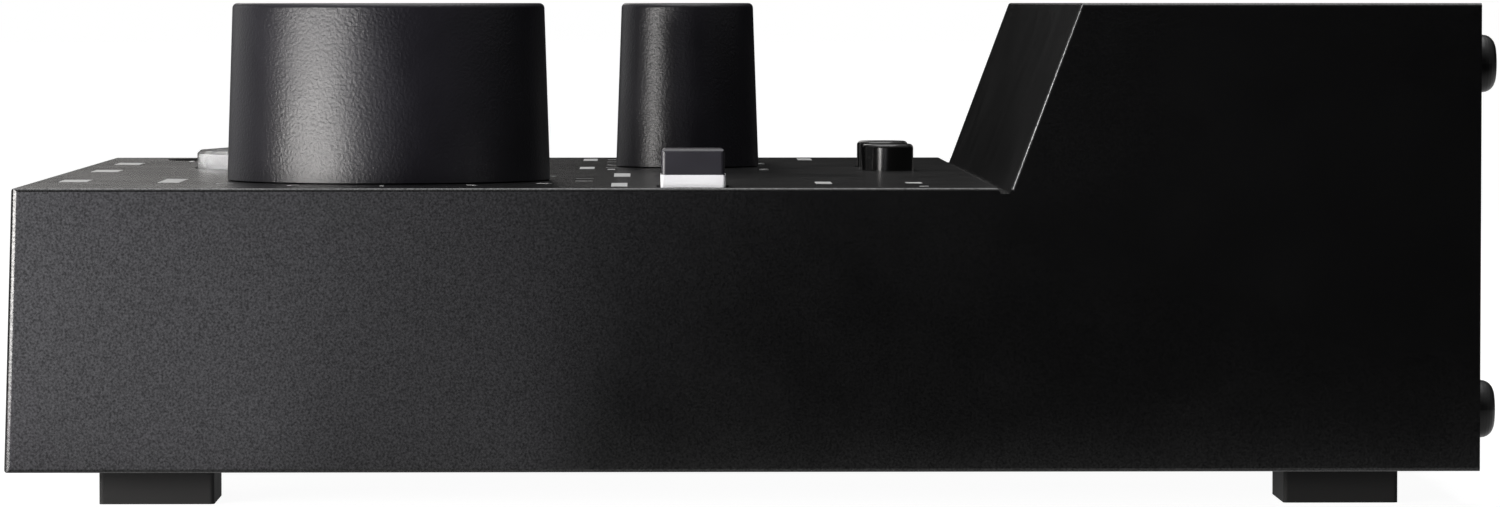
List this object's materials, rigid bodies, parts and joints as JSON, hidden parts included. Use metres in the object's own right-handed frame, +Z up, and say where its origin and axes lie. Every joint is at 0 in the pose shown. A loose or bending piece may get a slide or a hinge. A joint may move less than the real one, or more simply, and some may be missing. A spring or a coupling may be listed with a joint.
{
  "type": "usb audio mixer",
  "caption": "Black desktop USB audio mixer: low control deck with a large volume knob, gain knobs, fader and buttons, sloping up to a raised block with rear sockets.",
  "frame": {"origin": "on the table under the middle of the unit's box", "axes": "+X to the right of the user, +Y from the user to the socket side, +Z up"},
  "size_m": [0.135, 0.1648, 0.0558],
  "materials": {
    "powder_coat": "fine textured satin black powder coat",
    "foot_rubber": "matte black rubber",
    "black_screws": "black zinc",
    "knob_plastic": "satin black plastic",
    "cap_plastic": "satin dark grey plastic",
    "white_plastic": "white plastic",
    "clear_plastic": "clear plastic",
    "bright_steel": "plain steel",
    "board_laminate": "green lacquered laminate",
    "dark_plastic": "moulded black plastic",
    "pot_plastic": "blue moulded plastic",
    "cable_plastic": "grey plastic"
  },
  "bodies": {
    "chassis": {"top_cover": "powder_coat", "base_plate": "powder_coat", "front_panel": "powder_coat", "rear_panel": "powder_coat", "rubber_feet": "foot_rubber", "rear_screws": "black_screws", "base_screws": "black_screws", "main_board": "board_laminate", "board_chips": "dark_plastic", "board_spacers": "bright_steel", "board_screws": "bright_steel", "rear_board": "board_laminate", "rear_spacers": "bright_steel", "rear_board_screws": "bright_steel", "ribbon_cable": "cable_plastic", "ribbon_headers": "cable_plastic", "volume_pot": "pot_plastic", "volume_nut": "bright_steel", "gain_pot_left": "pot_plastic", "gain_nut_left": "bright_steel", "gain_pot_right": "pot_plastic", "gain_nut_right": "bright_steel", "fader_body": "bright_steel", "talk_switch": "dark_plastic", "mute_switch": "dark_plastic", "round_switches": "dark_plastic", "signal_lamps": "clear_plastic", "phones_jack_left": "dark_plastic", "phones_jack_right": "dark_plastic", "headset_jack": "dark_plastic", "combo_shell_left": "dark_plastic", "combo_insert_left": "dark_plastic", "combo_shell_right": "dark_plastic", "combo_insert_right": "dark_plastic", "combo_screws": "black_screws", "line_jack_left": "dark_plastic", "line_jack_right": "dark_plastic", "line_nuts": "bright_steel", "usb_shell": "bright_steel", "usb_tongue": "dark_plastic", "power_bezel": "dark_plastic"},
    "volume": {"volume_knob": "knob_plastic", "volume_pointer": "white_plastic", "volume_shaft": "bright_steel"},
    "gain_left": {"gain_knob_left": "knob_plastic", "gain_pointer_left": "white_plastic", "gain_shaft_left": "bright_steel"},
    "gain_right": {"gain_knob_right": "knob_plastic", "gain_pointer_right": "white_plastic", "gain_shaft_right": "bright_steel"},
    "fader": {"fader_cap": "knob_plastic", "fader_slider": "dark_plastic"},
    "talk": {"talk_lens": "clear_plastic", "talk_diffuser": "white_plastic"},
    "mute": {"mute_cap": "cap_plastic", "mute_skirt": "white_plastic"},
    "round_left": {"round_button_left": "knob_plastic"},
    "round_right": {"round_button_right": "knob_plastic"},
    "power": {"power_rocker": "dark_plastic"}
  },
  "joints": [
    {"name": "volume_turn", "type": "hinge", "parent": "chassis", "child": "volume", "pos_m": [0.0358, -0.04129, 0.045], "axis": [0, 0, 1], "range_deg": [-150, 150]},
    {"name": "gain_left_turn", "type": "hinge", "parent": "chassis", "child": "gain_left", "pos_m": [-0.05, -0.00661, 0.045], "axis": [0, 0, 1], "range_deg": [-150, 150]},
    {"name": "gain_right_turn", "type": "hinge", "parent": "chassis", "child": "gain_right", "pos_m": [-0.023, -0.00661, 0.045], "axis": [0, 0, 1], "range_deg": [-150, 150]},
    {"name": "fader_slide", "type": "slide", "parent": "chassis", "child": "fader", "axis": [0, 1, 0], "range_m": [-0.015, 0.015]},
    {"name": "talk_press", "type": "slide", "parent": "chassis", "child": "talk", "axis": [0, 0, -1], "range_m": [0, 0.001], "stiffness_N_per_m": 1500, "springref_m": -0.0005},
    {"name": "mute_press", "type": "slide", "parent": "chassis", "child": "mute", "axis": [0, 0, -1], "range_m": [0, 0.001], "stiffness_N_per_m": 1500, "springref_m": -0.0005},
    {"name": "round_left_press", "type": "slide", "parent": "chassis", "child": "round_left", "axis": [0, 0, -1], "range_m": [0, 0.0006], "stiffness_N_per_m": 2000, "springref_m": -0.0004},
    {"name": "round_right_press", "type": "slide", "parent": "chassis", "child": "round_right", "axis": [0, 0, -1], "range_m": [0, 0.0006], "stiffness_N_per_m": 2000, "springref_m": -0.0004},
    {"name": "power_tilt", "type": "hinge", "parent": "chassis", "child": "power", "pos_m": [0.04653, 0.0771, 0.0357], "axis": [1, 0, 0], "range_deg": [-16, 0]}
  ]
}
